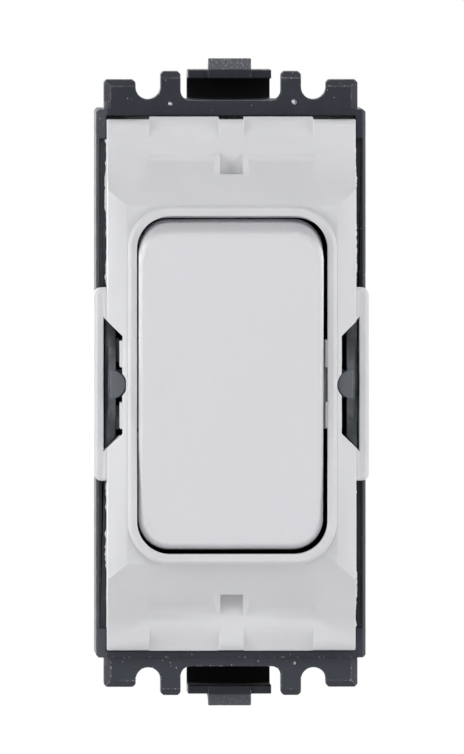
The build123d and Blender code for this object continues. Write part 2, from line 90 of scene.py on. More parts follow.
picture_height = picture_pixels / pixels_per_mm * MM
lens = bpy.data.cameras.new("lens")
lens.sensor_fit = "VERTICAL"
lens.sensor_height = 24.0
lens.lens = lens.sensor_height * camera_distance / picture_height
lens.clip_start, lens.clip_end = 0.05, 20.0
camera = bpy.data.objects.new("camera", lens)
scene.collection.objects.link(camera)
camera.location = look_at + away(camera_left, camera_up, camera_distance)
aim(camera, look_at)
scene.camera = camera


# Light: a soft box on each side, the left one stronger, a fill above the front, which the floor
# throws back from below, and three behind for the rear. None of them shows in the picture.
def soft_box(name, left, up, distance, width, height, power):
    """A rectangular lamp, so many degrees to the left of the front and above it, facing the module."""
    lamp = bpy.data.lights.new(name, "AREA")
    lamp.shape = "RECTANGLE"
    lamp.size, lamp.size_y = width, height
    lamp.energy = power
    box = bpy.data.objects.new(name, lamp)
    scene.collection.objects.link(box)
    box.location = away(left, up, distance)
    box.visible_camera = False
    aim(box, (0, 0, 0))


soft_box("left_soft_box", left=66, up=6, distance=0.5, width=0.26, height=0.4, power=1.7)
soft_box("right_soft_box", left=-66, up=6, distance=0.5, width=0.26, height=0.4, power=1.38)
soft_box("upper_fill", left=0, up=40, distance=0.7, width=0.5, height=0.3, power=1.5)
soft_box("rear_left_fill", left=140, up=14, distance=0.5, width=0.3, height=0.3, power=1.5)
soft_box("rear_right_fill", left=-140, up=14, distance=0.5, width=0.3, height=0.3, power=1.3)
soft_box("rear_upper_fill", left=180, up=50, distance=0.6, width=0.4, height=0.3, power=1.2)


# Room: plain white walls all round, as far as the lens, gloss and glass can see.
# What they throw back on the module is only a dim white.
room_dim, room_white = 0.06, 1.0


def reckoned(tree, operation, *values):
    """What a maths node makes of one or two values, each of them a socket or a number."""
    node = tree.nodes.new("ShaderNodeMath")
    node.operation = operation
    for socket, value in zip(node.inputs, values):
        if isinstance(value, (int, float)):
            socket.default_value = value
        else:
            tree.links.new(value, socket)
    return node.outputs[0]


def seen_directly(tree):
    """1 on a ray from the lens, off a gloss or through glass, and 0 on the others."""
    ray = tree.nodes.new("ShaderNodeLightPath").outputs
    either = reckoned(tree, "MAXIMUM", ray["Is Camera Ray"], ray["Is Glossy Ray"])
    return reckoned(tree, "MAXIMUM", either, ray["Is Transmission Ray"])


room = bpy.data.worlds.new("room")
scene.world = room
room.use_nodes = True
tree = room.node_tree
tree.nodes.clear()
strength = tree.nodes.new("ShaderNodeMix")
strength.inputs["A"].default_value = room_dim
strength.inputs["B"].default_value = room_white
tree.links.new(seen_directly(tree), strength.inputs["Factor"])
walls = tree.nodes.new("ShaderNodeBackground")
walls.inputs["Color"].default_value = (1, 1, 1, 1)
tree.links.new(strength.outputs["Result"], walls.inputs["Strength"])
room_out = tree.nodes.new("ShaderNodeOutputWorld")
tree.links.new(walls.outputs["Background"], room_out.inputs["Surface"])


# Floor: a white table below the module, which takes its shadow. Further out it glows for the lens,
# more and more, so that its edge is as white as the room.
floor_reach = 0.3
floor_drop = 20 * MM
glow_start, glow_end = 0.08, 0.27
glow_near, glow_far = 0.08, 1.0


def new_finish(name):
    """A new material, with its node tree and its shader."""
    finish = bpy.data.materials.new(name)
    finish.use_nodes = True
    return finish, finish.node_tree, finish.node_tree.nodes["Principled BSDF"]


def between(tree, value, low, high, from_low, from_high, blend="LINEAR"):
    """A value moved from the range low to high into another range, and held inside it."""
    node = tree.nodes.new("ShaderNodeMapRange")
    node.interpolation_type = blend
    tree.links.new(value, node.inputs["Value"])
    node.inputs["From Min"].default_value = low
    node.inputs["From Max"].default_value = high
    node.inputs["To Min"].default_value = from_low
    node.inputs["To Max"].default_value = from_high
    return node.outputs["Result"]


table_white, tree, shader = new_finish("table_white")
shader.inputs["Base Color"].default_value = (0.8, 0.8, 0.8, 1)
shader.inputs["Roughness"].default_value = 0.9
shader.inputs["Specular IOR Level"].default_value = 0.0
shader.inputs["Emission Color"].default_value = (1, 1, 1, 1)
table_spot = tree.nodes.new("ShaderNodeTexCoord")
from_module = tree.nodes.new("ShaderNodeVectorMath")
from_module.operation = "LENGTH"
tree.links.new(table_spot.outputs["Object"], from_module.inputs[0])
further_out = between(
    tree, from_module.outputs["Value"], glow_start, glow_end, glow_near, glow_far, "SMOOTHSTEP")
table_glow = reckoned(tree, "MULTIPLY", seen_directly(tree), further_out)
tree.links.new(table_glow, shader.inputs["Emission Strength"])
floor_height = cad_box[0][2] - floor_drop
table_corners = ((-1, -1), (1, -1), (1, 1), (-1, 1))
table = bpy.data.meshes.new("table")
table.from_pydata(
    [(x * floor_reach, y * floor_reach, floor_height) for x, y in table_corners], [], [(0, 1, 2, 3)])
table.materials.append(table_white)
floor = bpy.data.objects.new("floor", table)
scene.collection.objects.link(floor)


# Base housing: a tray of dark blue-grey nylon with terminal pockets behind, and a comb and a
# snap latch at each end. It is moulded in one shot, and its worn edges and noses are paler.
# Painted light pales its upper noses, lower end, right wall, left groove and the posts in its
# windows, and painted shade blackens its latch slots.
flat_angle, sharp_angle = radians(0.6), radians(34)
flat_weight = 80
soft = 0.1 * MM


def moulded(node, edge, segments=2, share=None, reshape=None, merge=0.002 * MM):
    """A CAD node as one mesh with its edges rounded, the rounded faces marked as edge."""
    mesh = frame["nodes"][node].data.copy()
    shape = bmesh.new()
    shape.from_mesh(mesh)
    bmesh.ops.remove_doubles(shape, verts=shape.verts, dist=merge)
    bmesh.ops.dissolve_degenerate(shape, edges=shape.edges, dist=merge)
    bmesh.ops.dissolve_limit(shape, angle_limit=flat_angle, verts=shape.verts, edges=shape.edges)
    if reshape:
        reshape(shape)
        shape.normal_update()
    weights = shape.edges.layers.float.new("bevel_weight_edge")
    for line in shape.edges:
        if line.calc_face_angle(0) > sharp_angle:
            line[weights] = share(line) if share else 1.0
    shape.to_mesh(mesh)
    shape.free()
    mesh.materials.clear()
    piece = bpy.data.objects.new(node + "_skin", mesh)
    scene.collection.objects.link(piece)
    for slot_name in ("face", "rounding"):
        mesh.materials.append(bpy.data.materials.new(node + "_" + slot_name))
    rounding = piece.modifiers.new("rounding", "BEVEL")
    rounding.width = edge
    rounding.segments = segments
    rounding.limit_method = "WEIGHT"
    rounding.use_clamp_overlap = False
    rounding.material = 1
    evening = piece.modifiers.new("evening", "WEIGHTED_NORMAL")
    evening.keep_sharp = False
    evening.weight = flat_weight
    mesh.shade_smooth()
    done = bpy.data.meshes.new_from_object(
        piece.evaluated_get(bpy.context.evaluated_depsgraph_get()))
    piece.modifiers.clear()
    piece.data = done
    worn = done.attributes.new("edge", "FLOAT", "FACE")
    worn.data.foreach_set("value", [float(face.material_index) for face in done.polygons])
    done.polygons.foreach_set("material_index", [0] * len(done.polygons))
    done.materials.clear()
    return piece


def grain(tree, per_mm, detail=2.0, stretch=(1, 1, 1)):
    """A noise with that many grains to the millimetre, drawn out along an axis where asked."""
    place = tree.nodes.new("ShaderNodeTexCoord")
    turn = tree.nodes.new("ShaderNodeMapping")
    turn.inputs["Scale"].default_value = stretch
    noise = tree.nodes.new("ShaderNodeTexNoise")
    noise.inputs["Scale"].default_value = per_mm / MM
    noise.inputs["Detail"].default_value = detail
    tree.links.new(place.outputs["Object"], turn.inputs["Vector"])
    tree.links.new(turn.outputs["Vector"], noise.inputs["Vector"])
    return noise.outputs["Fac"]


def patches(tree, per_mm, detail, noise, share, stretch=(1, 1, 1)):
    """Patches of a grain, whose share goes from one value to another as the noise does."""
    return between(tree, grain(tree, per_mm, detail, stretch), *noise, *share)


def times(tree, one, *others):
    """The product of two or more values."""
    for other in others:
        one = reckoned(tree, "MULTIPLY", one, other)
    return one


def along_axis(tree, axis):
    """Where a point is along an axis."""
    place = tree.nodes.new("ShaderNodeTexCoord")
    split = tree.nodes.new("ShaderNodeSeparateXYZ")
    tree.links.new(place.outputs["Object"], split.inputs[0])
    return split.outputs[axis]


def past(tree, value, limit, most=1.0):
    """0 up to a limit, and the most just past it."""
    return between(tree, value, limit, limit + soft, 0.0, most)


def short_of(tree, value, limit, most=1.0):
    """The most up to a limit, and 0 just past it."""
    return between(tree, value, limit, limit + soft, most, 0.0)


def tinted(tree, share, colour, other):
    """One colour turned into another by a share. Each is a socket or a plain colour."""
    node = tree.nodes.new("ShaderNodeMix")
    node.data_type = "RGBA"
    tree.links.new(share, node.inputs["Factor"])
    for name, value in (("A", colour), ("B", other)):
        socket = [s for s in node.inputs if s.name == name and s.type == "RGBA"][0]
        if isinstance(value, tuple):
            socket.default_value = (*value, 1)
        else:
            tree.links.new(value, socket)
    return [s for s in node.outputs if s.type == "RGBA"][0]


def coated(tree, shader, colour, roughness):
    """Gives a shader its colour and its roughness."""
    tree.links.new(colour, shader.inputs["Base Color"])
    tree.links.new(roughness, shader.inputs["Roughness"])


def embossed(tree, shader, height, depth):
    """Raises the surface by a height pattern that is that many millimetres deep."""
    node = tree.nodes.new("ShaderNodeBump")
    node.inputs["Strength"].default_value = 0.6
    node.inputs["Distance"].default_value = depth * MM
    tree.links.new(height, node.inputs["Height"])
    tree.links.new(node.outputs["Normal"], shader.inputs["Normal"])


def edge_share(tree):
    """1 on the rounded edges of a piece, and 0 on its faces."""
    node = tree.nodes.new("ShaderNodeAttribute")
    node.attribute_name = "edge"
    return node.outputs["Fac"]


def clad(piece, finish, body, node):
    """Gives a piece its finish, and puts it in its CAD node's place on a body."""
    piece.data.materials.append(finish)
    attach(piece, body)
    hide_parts(node)


nylon_dark = (0.015, 0.0175, 0.0245)
nylon_pale = (0.026, 0.03, 0.04)
nylon_wear_and_light = (0.075, 0.08, 0.092)
nylon_scuff_and_light = (0.125, 0.128, 0.138)
nylon_nose = (0.12, 0.127, 0.15)
nylon_painted_floor_light = (0.053, 0.058, 0.072)
nylon_painted_shade = (0.002, 0.002, 0.003)
nylon_bracket_painted_light = (0.13, 0.143, 0.156)
nylon_lit_streak = (0.3, 0.32, 0.345)
nylon_post_painted_light = (0.135, 0.145, 0.162)
nylon_speck = (0.42, 0.43, 0.45)
waist = 1 * MM
nose_foot, comb_root, lower_step = 28.45 * MM, 25.7 * MM, -24.7 * MM
groove_inside, wall_inside, wall_outside = 11.2 * MM, 11.9 * MM, 12.1 * MM
groove_foot, rim_foot = 0.0, -2.5 * MM
bracket_inner, bracket_outer, bracket_end = 8.4 * MM, 11.55 * MM, 6.2 * MM
bracket_foot, bracket_front, post_front = -2.2 * MM, -4.2 * MM, -5.4 * MM
slot_near, slot_far, slot_side = 25.75 * MM, 27.7 * MM, 3.74 * MM
slot_front, slot_bottom = -2.3 * MM, 8.1 * MM
floor_light_start, floor_light_end = -20 * MM, -24 * MM
speck_front, speck_back = -1.5 * MM, 0.5 * MM
nylon, tree, shader = new_finish("base_nylon")
across = along_axis(tree, "X")
depth = along_axis(tree, "Y")
upward = along_axis(tree, "Z")
sideways = reckoned(tree, "ABSOLUTE", across)
endways = reckoned(tree, "ABSOLUTE", upward)
edges = edge_share(tree)
cloud = patches(tree, 0.35, 3.0, noise=(0.35, 0.68), share=(0.15, 0.8))
mottle = patches(tree, 4.0, 2.0, noise=(0.4, 0.7), share=(0.0, 0.55))
# Painted light: paler towards the lower end, standing in for light thrown up by the floor.
lower_end_painted_light = between(tree, upward, floor_light_end, floor_light_start, 0.55, 0.0)
nose = past(tree, endways, nose_foot)
# Painted light: the upper noses get their scuffs and specks more strongly than the lower ones, as the
# light from above falls on them.
upper = between(tree, upward, -waist, waist, 0.35, 1.0)
nose_scuff_and_top_light = times(tree, nose, upper, patches(tree, 3.2, 2.0, noise=(0.45, 0.62), share=(0.15, 1.0)))
# Painted light: the brackets and posts inside the side windows are painted much paler, in streaks, the
# posts palest, as light falls into the windows.
window_painted_light = times(
    tree, past(tree, sideways, bracket_inner), short_of(tree, sideways, bracket_outer),
    short_of(tree, endways, bracket_end), short_of(tree, depth, bracket_foot))
raised = between(tree, depth, post_front, bracket_front, 1.0, 0.0)
lit_streaks = patches(tree, 0.8, 4.0, noise=(0.42, 0.68), share=(0.0, 0.9), stretch=(1.0, 1.0, 0.5))
# Painted shade: the latch slots are painted near black, for the deep shade in them.
slot_painted_shade = times(
    tree, past(tree, endways, slot_near), short_of(tree, endways, slot_far),
    short_of(tree, sideways, slot_side),
    past(tree, depth, slot_front), short_of(tree, depth, slot_bottom))
beside_frame = short_of(tree, endways, comb_root - soft)
# Painted light: the right wall beside the frame is painted paler, as if lit like the left one.
right_wall_painted_light = times(
    tree, beside_frame, short_of(tree, depth, rim_foot), past(tree, across, wall_inside, 0.9))
# Painted light: the groove inside the left wall is painted paler, as light falls into it.
left_groove_painted_light = times(
    tree, beside_frame, short_of(tree, depth, groove_foot, 0.8),
    short_of(tree, across, -groove_inside - soft), short_of(tree, sideways, wall_outside))
teeth = past(tree, endways, comb_root)
below = short_of(tree, upward, lower_step - soft)
# Paler edges: worn on the teeth, and painted light on the edges of the right wall.
worn_and_lit_edges = times(
    tree, edges, reckoned(tree, "MAXIMUM", teeth, right_wall_painted_light),
    patches(tree, 1.6, 3.0, noise=(0.42, 0.6), share=(0.2, 0.9)))
specks = times(
    tree, patches(tree, 3.8, 1.0, noise=(0.765, 0.785), share=(0.0, 0.9)),
    between(tree, depth, speck_front, speck_back, 1.0, 0.2))
nose_specks = times(tree, nose, upper, patches(tree, 7.0, 1.0, noise=(0.58, 0.66), share=(0.0, 0.7)))
edge_specks = patches(tree, 5.0, 1.0, noise=(0.63, 0.68), share=(0.0, 0.8))
tooth_specks = times(tree, edges, teeth, edge_specks)
step_specks = times(tree, edges, below, edge_specks)
bracket = tinted(tree, lit_streaks, nylon_bracket_painted_light, nylon_lit_streak)
colour = tinted(tree, cloud, nylon_dark, nylon_pale)
for share, tint in (
        (mottle, nylon_dark), (lower_end_painted_light, nylon_painted_floor_light), (nose, nylon_nose),
        (window_painted_light, tinted(tree, raised, bracket, nylon_post_painted_light)),
        (right_wall_painted_light, nylon_wear_and_light), (left_groove_painted_light, nylon_wear_and_light),
        (nose_scuff_and_top_light, nylon_scuff_and_light), (worn_and_lit_edges, nylon_wear_and_light),
        (specks, nylon_speck), (nose_specks, nylon_speck),
        (tooth_specks, nylon_speck), (step_specks, nylon_speck), (slot_painted_shade, nylon_painted_shade)):
    colour = tinted(tree, share, colour, tint)
gloss = patches(tree, 1.2, 2.0, noise=(0.3, 0.7), share=(0.38, 0.58))
coated(tree, shader, colour, reckoned(tree, "MAXIMUM", gloss, slot_painted_shade))
shader.inputs["Specular IOR Level"].default_value = 0.25
embossed(tree, shader, grain(tree, 5.0, 3.0), depth=0.02)
rim_reach, rim_front = 12.2 * MM, 2.4 * MM
rim_edge, other_share = 0.24 * MM, 0.33
upright_share = 0.7


def rim_rounded(line):
    """A wider rounding on the outer edges of both side walls than on the rest."""
    at_rim = all(abs(v.co.x) > rim_reach and -v.co.y > rim_front for v in line.verts)
    rise = abs(line.verts[0].co.z - line.verts[1].co.z)
    return 1.0 if at_rim and rise > upright_share * line.calc_length() else other_share


base = moulded("base_housing", edge=rim_edge, segments=3, share=rim_rounded)
clad(base, nylon, "module", "base_housing")


# Gate marks: where the nylon was torn off its runner, a small cone of whitened plastic is left
# at the roots of three inner teeth. They are part of the base.
gate_places = ((-5.5, 25.45, 0.2), (5.76, 25.6, 0.26), (5.76, -25.45, 0.16))
gate_front = 3.0
gate_height = 0.16
gate_rings = ((-0.05, 1.1), (0.05, 0.9), (gate_height * 0.7, 0.6), (gate_height, 0.25))
gate_sides = 9
gate_least, gate_spread = 0.85, 0.3
torn_dark, torn_white = (0.09, 0.095, 0.11), (0.62, 0.63, 0.66)


def joined(shape, rings):
    """Walls from each ring of points to the next, and a face over both ends."""
    for one, other in zip(rings, rings[1:]):
        for step in range(len(one)):
            after = (step + 1) % len(one)
            shape.faces.new((one[step], one[after], other[after], other[step]))
    shape.faces.new(rings[0])
    shape.faces.new(rings[-1])


def moulded_on(name, shape, finish):
    """Makes a small form into a piece that is moulded with the module, in its finish."""
    bmesh.ops.recalc_face_normals(shape, faces=shape.faces)
    mesh = bpy.data.meshes.new(name)
    shape.to_mesh(mesh)
    shape.free()
    mesh.materials.append(finish)
    piece = bpy.data.objects.new(name, mesh)
    scene.collection.objects.link(piece)
    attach(piece, "module")
    return piece


torn, tree, shader = new_finish("torn_nylon")
whitened = patches(tree, 4.5, 2.0, noise=(0.38, 0.55), share=(0.0, 1.0))
gloss = patches(tree, 2.0, 2.0, noise=(0.3, 0.7), share=(0.4, 0.7))
coated(tree, shader, tinted(tree, whitened, torn_dark, torn_white), gloss)
embossed(tree, shader, grain(tree, 6.0, 3.0), depth=0.03)
draw = random.Random(5)
marks = bmesh.new()
for x, z, radius in gate_places:
    rings = []
    for lift, share in gate_rings:
        ring = []
        for step in range(gate_sides):
            angle = 2 * pi * step / gate_sides
            reach = radius * share * (gate_least + gate_spread * draw.random())
            spot = (x + reach * cos(angle), -gate_front - lift, z + reach * sin(angle))
            ring.append(marks.verts.new(Vector(spot) * MM))
        rings.append(ring)
    joined(marks, rings)
gates = moulded_on("gate_marks", marks, torn)
gates.data.shade_smooth()


# Bracket ribs: two low ribs of the base beside its left bearing post, which close the slit between
# the post's bracket and the frame. They are moulded with the base.
rib_inner, rib_outer = -10.2, -10.55
rib_foot, rib_front = 2.0, 3.7
rib_near, rib_far = 2.0, 4.15


def block(shape, sides, fronts, ends):
    """A block between two places across the module, two in front of it and two along it."""
    spots = [shape.verts.new(Vector((x, -y, z)) * MM) for x in sides for y in fronts for z in ends]
    bmesh.ops.convex_hull(shape, input=spots)


ribs = bmesh.new()
for end in (-1, 1):
    block(ribs, (rib_inner, rib_outer), (rib_foot, rib_front), (end * rib_near, end * rib_far))
moulded_on("bracket_ribs", ribs, nylon)


# Terminals: three pillars sawn from brass bar, drilled across for the conductor and tapped from
# behind for the screw. Each drops into its pocket in the base.
def metal(name, bright, dull, roughness, marks, mark_depth):
    """Bare metal of two tones, with marks that run along one axis and are duller in places."""
    finish, tree, shader = new_finish(name)
    shader.inputs["Metallic"].default_value = 1.0
    scratches = grain(tree, 6.0, 2.0, stretch=marks)
    tarnish = patches(tree, 0.5, 4.0, noise=(0.35, 0.7), share=(0.0, 1.0))
    colour = tinted(tree, tarnish, bright, dull)
    colour = tinted(tree, between(tree, scratches, 0.45, 0.7, 0.0, 0.35), colour, dull)
    coated(tree, shader, colour, between(tree, scratches, 0.3, 0.7, *roughness))
    embossed(tree, shader, scratches, depth=mark_depth)
    return finish


sawn_brass = metal(
    "sawn_brass", bright=(0.78, 0.6, 0.28), dull=(0.55, 0.38, 0.14), roughness=(0.22, 0.45),
    marks=(1.0, 1.0, 0.06), mark_depth=0.02)
for end in ("common", "upper", "lower"):
    pillar = moulded(end + "_terminal", edge=0.12 * MM)
    clad(pillar, sawn_brass, "module", end + "_terminal")


# Terminal screws: slotted headless screws of zinc-plated steel with a rolled thread, backed off
# so that the conductor holes are clear.
screw_pitch, screw_thread_depth = 0.7 * MM, 0.3 * MM
screw_slot, screw_slot_depth = 0.7 * MM, 1.0 * MM
screw_sides, screw_steps = 40, 64
spare_turns = 100.0
crease_angle = radians(40)


def growth_tree(name, sizes, places):
    """An empty node tree, with an input for each size and place and one for the finish."""
    tree = bpy.data.node_groups.new(name, "GeometryNodeTree")
    tree.interface.new_socket("Geometry", in_out="OUTPUT", socket_type="NodeSocketGeometry")
    for size in sizes:
        tree.interface.new_socket(size, in_out="INPUT", socket_type="NodeSocketFloat")
    for place in places:
        tree.interface.new_socket(place, in_out="INPUT", socket_type="NodeSocketVector")
    tree.interface.new_socket("Finish", in_out="INPUT", socket_type="NodeSocketMaterial")
    return tree, tree.nodes, tree.links, tree.nodes.new("NodeGroupInput").outputs


def made_real(tree, shape, finish):
    """Ends a node tree with its shape made real and given its finish."""
    real = tree.nodes.new("GeometryNodeRealizeInstances")
    tree.links.new(shape, real.inputs[0])
    dressed = tree.nodes.new("GeometryNodeSetMaterial")
    tree.links.new(real.outputs[0], dressed.inputs["Geometry"])
    tree.links.new(finish, dressed.inputs["Material"])
    tree.links.new(dressed.outputs[0], tree.nodes.new("NodeGroupOutput").inputs[0])


def thread_tree():
    """A threaded rod with a screwdriver slot, from a few named sizes."""
    tree, nodes, links, given = growth_tree(
        "slotted_screw",
        ("Radius", "Length", "Pitch", "Thread Depth", "Slot Width", "Slot Depth"), ("Middle",))

    def maths(operation, *values):
        return reckoned(tree, operation, *values)

    rod = nodes.new("GeometryNodeMeshCylinder")
    rod.inputs["Vertices"].default_value = screw_sides
    rod.inputs["Side Segments"].default_value = screw_steps
    links.new(given["Radius"], rod.inputs["Radius"])
    links.new(given["Length"], rod.inputs["Depth"])
    spot = nodes.new("GeometryNodeInputPosition")
    split = nodes.new("ShaderNodeSeparateXYZ")
    links.new(spot.outputs[0], split.inputs[0])
    turn = maths("DIVIDE", maths("ARCTAN2", split.outputs["Y"], split.outputs["X"]), 2 * pi)
    rise = maths("SUBTRACT", maths("DIVIDE", split.outputs["Z"], given["Pitch"]), turn)
    phase = maths("FRACT", maths("ADD", rise, spare_turns))
    valley = maths("ABSOLUTE", maths("SUBTRACT", maths("MULTIPLY", phase, 2.0), 1.0))
    half = maths("DIVIDE", given["Length"], 2.0)
    from_end = maths("SUBTRACT", half, maths("ABSOLUTE", split.outputs["Z"]))
    lead = maths("MINIMUM", maths("DIVIDE", from_end, given["Pitch"]), 1.0)
    crest = maths("MULTIPLY", maths("SUBTRACT", 1.0, valley), lead)
    cut_depth = maths("MULTIPLY", maths("SUBTRACT", 1.0, crest), given["Thread Depth"])
    scale = maths("SUBTRACT", 1.0, maths("DIVIDE", cut_depth, given["Radius"]))
    cut = nodes.new("ShaderNodeCombineXYZ")
    links.new(maths("MULTIPLY", split.outputs["X"], scale), cut.inputs["X"])
    links.new(maths("MULTIPLY", split.outputs["Y"], scale), cut.inputs["Y"])
    links.new(split.outputs["Z"], cut.inputs["Z"])
    threaded = nodes.new("GeometryNodeSetPosition")
    links.new(rod.outputs["Mesh"], threaded.inputs["Geometry"])
    links.new(cut.outputs[0], threaded.inputs["Position"])

    blade = nodes.new("GeometryNodeMeshCube")
    blade_size = nodes.new("ShaderNodeCombineXYZ")
    links.new(maths("MULTIPLY", given["Radius"], 3.0), blade_size.inputs["X"])
    links.new(given["Slot Width"], blade_size.inputs["Y"])
    links.new(maths("MULTIPLY", given["Slot Depth"], 2.0), blade_size.inputs["Z"])
    links.new(blade_size.outputs[0], blade.inputs["Size"])
    blade_place = nodes.new("ShaderNodeCombineXYZ")
    links.new(maths("DIVIDE", given["Length"], -2.0), blade_place.inputs["Z"])
    lowered = nodes.new("GeometryNodeTransform")
    links.new(blade.outputs["Mesh"], lowered.inputs["Geometry"])
    links.new(blade_place.outputs[0], lowered.inputs["Translation"])
    slotted = nodes.new("GeometryNodeMeshBoolean")
    slotted.operation = "DIFFERENCE"
    links.new(threaded.outputs[0], slotted.inputs["Mesh 1"])
    links.new(lowered.outputs[0], slotted.inputs["Mesh 2"])

    stood = nodes.new("GeometryNodeTransform")
    stood.inputs["Rotation"].default_value = (radians(90), 0, 0)
    links.new(slotted.outputs["Mesh"], stood.inputs["Geometry"])
    links.new(given["Middle"], stood.inputs["Translation"])
    made_real(tree, stood.outputs[0], given["Finish"])
    return tree


def grown(name, tree, sizes):
    """The plain mesh that a node tree makes from the given sizes, as a piece at the origin."""
    piece = bpy.data.objects.new(name, bpy.data.meshes.new(name))
    scene.collection.objects.link(piece)
    growth = piece.modifiers.new("growth", "NODES")
    growth.node_group = tree
    for socket in tree.interface.items_tree:
        if socket.in_out == "INPUT":
            growth[socket.identifier] = sizes[socket.name]
    done = bpy.data.meshes.new_from_object(
        piece.evaluated_get(bpy.context.evaluated_depsgraph_get()))
    piece.modifiers.clear()
    piece.data = done
    done.shade_smooth()
    done.set_sharp_from_angle(angle=crease_angle)
    return piece


zinc_plate = metal(
    "zinc_plate", bright=(0.58, 0.58, 0.57), dull=(0.4, 0.4, 0.38), roughness=(0.2, 0.42),
    marks=(0.2, 1.0, 0.2), mark_depth=0.012)
screw_rod = thread_tree()
for end in ("common", "upper", "lower"):
    near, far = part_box(end + "_screw")
    screw = grown(end + "_screw_thread", screw_rod, {
        "Radius": (far.x - near.x) / 2,
        "Length": far.y - near.y,
        "Pitch": screw_pitch,
        "Thread Depth": screw_thread_depth,
        "Slot Width": screw_slot,
        "Slot Depth": screw_slot_depth,
        "Middle": (near + far) / 2,
        "Finish": zinc_plate,
    })
    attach(screw, end + "_screw")
    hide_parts(end + "_screw")


# Strips: brass pressed from sheet, lying on the floor of the base. Each runs into its terminal,
# and the common one stands up in a saddle for the see-saw.
pressed_brass = metal(
    "pressed_brass", bright=(0.74, 0.56, 0.26), dull=(0.5, 0.34, 0.13), roughness=(0.42, 0.62),
    marks=(1.0, 1.0, 0.1), mark_depth=0.012)
for end in ("common", "upper", "lower"):
    strip = moulded(end + "_strip", edge=0.08 * MM)
    clad(strip, pressed_brass, "module", end + "_strip")


# Contacts: rivets of a silver alloy, two set in the strips and two in the see-saw, whose heads
# are rolled round. The faces are dulled by sparks.
contact_silver = metal(
    "contact_silver", bright=(0.86, 0.85, 0.82), dull=(0.58, 0.56, 0.52), roughness=(0.25, 0.5),
    marks=(1.0, 1.0, 1.0), mark_depth=0.015)
for end in ("upper", "lower"):
    for kind, body in (("fixed", "module"), ("moving", "see_saw")):
        rivet = kind + "_contact_" + end
        clad(moulded(rivet, edge=0.07 * MM), contact_silver, body, rivet)


# See-saw: a flat bar of rolled copper with a round ear on each side, which rocks in the saddle
# of the common strip.
rolled_copper = metal(
    "rolled_copper", bright=(0.8, 0.46, 0.32), dull=(0.56, 0.27, 0.17), roughness=(0.2, 0.4),
    marks=(1.0, 1.0, 0.08), mark_depth=0.008)
clad(moulded("contact_bar", edge=0.08 * MM), rolled_copper, "see_saw", "contact_bar")


# Plunger: a round-nosed pin of natural acetal, turned smooth, which slides in the rocker's
# socket and presses on the see-saw.
acetal_pale, acetal_deep = (0.84, 0.83, 0.79), (0.76, 0.75, 0.7)
acetal, tree, shader = new_finish("natural_acetal")
milky = patches(tree, 0.6, 3.0, noise=(0.35, 0.65), share=(0.0, 1.0))
gloss = patches(tree, 2.0, 2.0, noise=(0.3, 0.7), share=(0.3, 0.45))
coated(tree, shader, tinted(tree, milky, acetal_pale, acetal_deep), gloss)
shader.inputs["Subsurface Weight"].default_value = 0.15
shader.inputs["Subsurface Radius"].default_value = (0.6 * MM, 0.6 * MM, 0.5 * MM)
embossed(tree, shader, grain(tree, 5.0, 2.0, stretch=(1.0, 0.1, 1.0)), depth=0.01)
clad(moulded("plunger", edge=0.1 * MM), acetal, "plunger", "plunger")


# Plunger spring: drawn steel wire wound on a mandrel, standing between the plunger and the end
# of the socket. The real one shortens when the plunger is pushed in; this coil keeps its length.
wire = 0.4 * MM
wire_sides = 12
coil_turns, coil_steps = 4.0, 40
joints = {joint["name"]: joint for joint in frame["joints"]}
slide_axis = Vector(joints["plunger_slide"]["axis"]).normalized()
pivot = Vector(joints["rocker_tip"]["pos_m"])
coil_points = [v.co - pivot for v in frame["nodes"]["plunger_spring"].data.vertices]
along = [point.dot(slide_axis) for point in coil_points]
coil_outside = max((point - point.dot(slide_axis) * slide_axis).length for point in coil_points)
coil_length = max(along) - min(along) - wire


def coil_tree():
    """A round wire wound into a coil, from a few named sizes."""
    tree, nodes, links, given = growth_tree(
        "wire_coil", ("Radius", "Height", "Turns", "Wire"), ("Foot", "Turn"))
    path = nodes.new("GeometryNodeCurveSpiral")
    path.inputs["Resolution"].default_value = coil_steps
    links.new(given["Turns"], path.inputs["Rotations"])
    links.new(given["Radius"], path.inputs["Start Radius"])
    links.new(given["Radius"], path.inputs["End Radius"])
    links.new(given["Height"], path.inputs["Height"])
    section = nodes.new("GeometryNodeCurvePrimitiveCircle")
    section.inputs["Resolution"].default_value = wire_sides
    links.new(reckoned(tree, "MULTIPLY", given["Wire"], 0.5), section.inputs["Radius"])
    swept = nodes.new("GeometryNodeCurveToMesh")
    swept.inputs["Fill Caps"].default_value = True
    links.new(path.outputs["Curve"], swept.inputs["Curve"])
    links.new(section.outputs["Curve"], swept.inputs["Profile Curve"])
    turned = nodes.new("GeometryNodeTransform")
    links.new(swept.outputs["Mesh"], turned.inputs["Geometry"])
    links.new(given["Foot"], turned.inputs["Translation"])
    links.new(given["Turn"], turned.inputs["Rotation"])
    made_real(tree, turned.outputs[0], given["Finish"])
    return tree


drawn_wire = metal(
    "drawn_wire", bright=(0.62, 0.62, 0.61), dull=(0.42, 0.42, 0.42), roughness=(0.2, 0.4),
    marks=(1.0, 0.2, 1.0), mark_depth=0.006)
spring = grown("plunger_spring_coil", coil_tree(), {
    "Radius": coil_outside - wire / 2,
    "Height": coil_length,
    "Turns": coil_turns,
    "Wire": wire,
    "Foot": pivot + (min(along) + wire / 2) * slide_axis,
    "Turn": Vector(slide_axis.to_track_quat("Z", "X").to_euler()),
    "Finish": drawn_wire,
})
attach(spring, "rocker")
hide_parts("plunger_spring")
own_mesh(spring)


# Rocker: a hollow key of glossy white urea, moulded with its two trunnions and the plunger's
# socket. Its front edges are rolled over more than the rest.
rolled_depth = 0.62 * MM
front_of_rocker = max(
    (v.co - pivot).dot(slide_axis) for v in frame["nodes"]["rocker"].data.vertices)
urea_white, urea_grey = (0.755, 0.755, 0.785), (0.748, 0.748, 0.772)


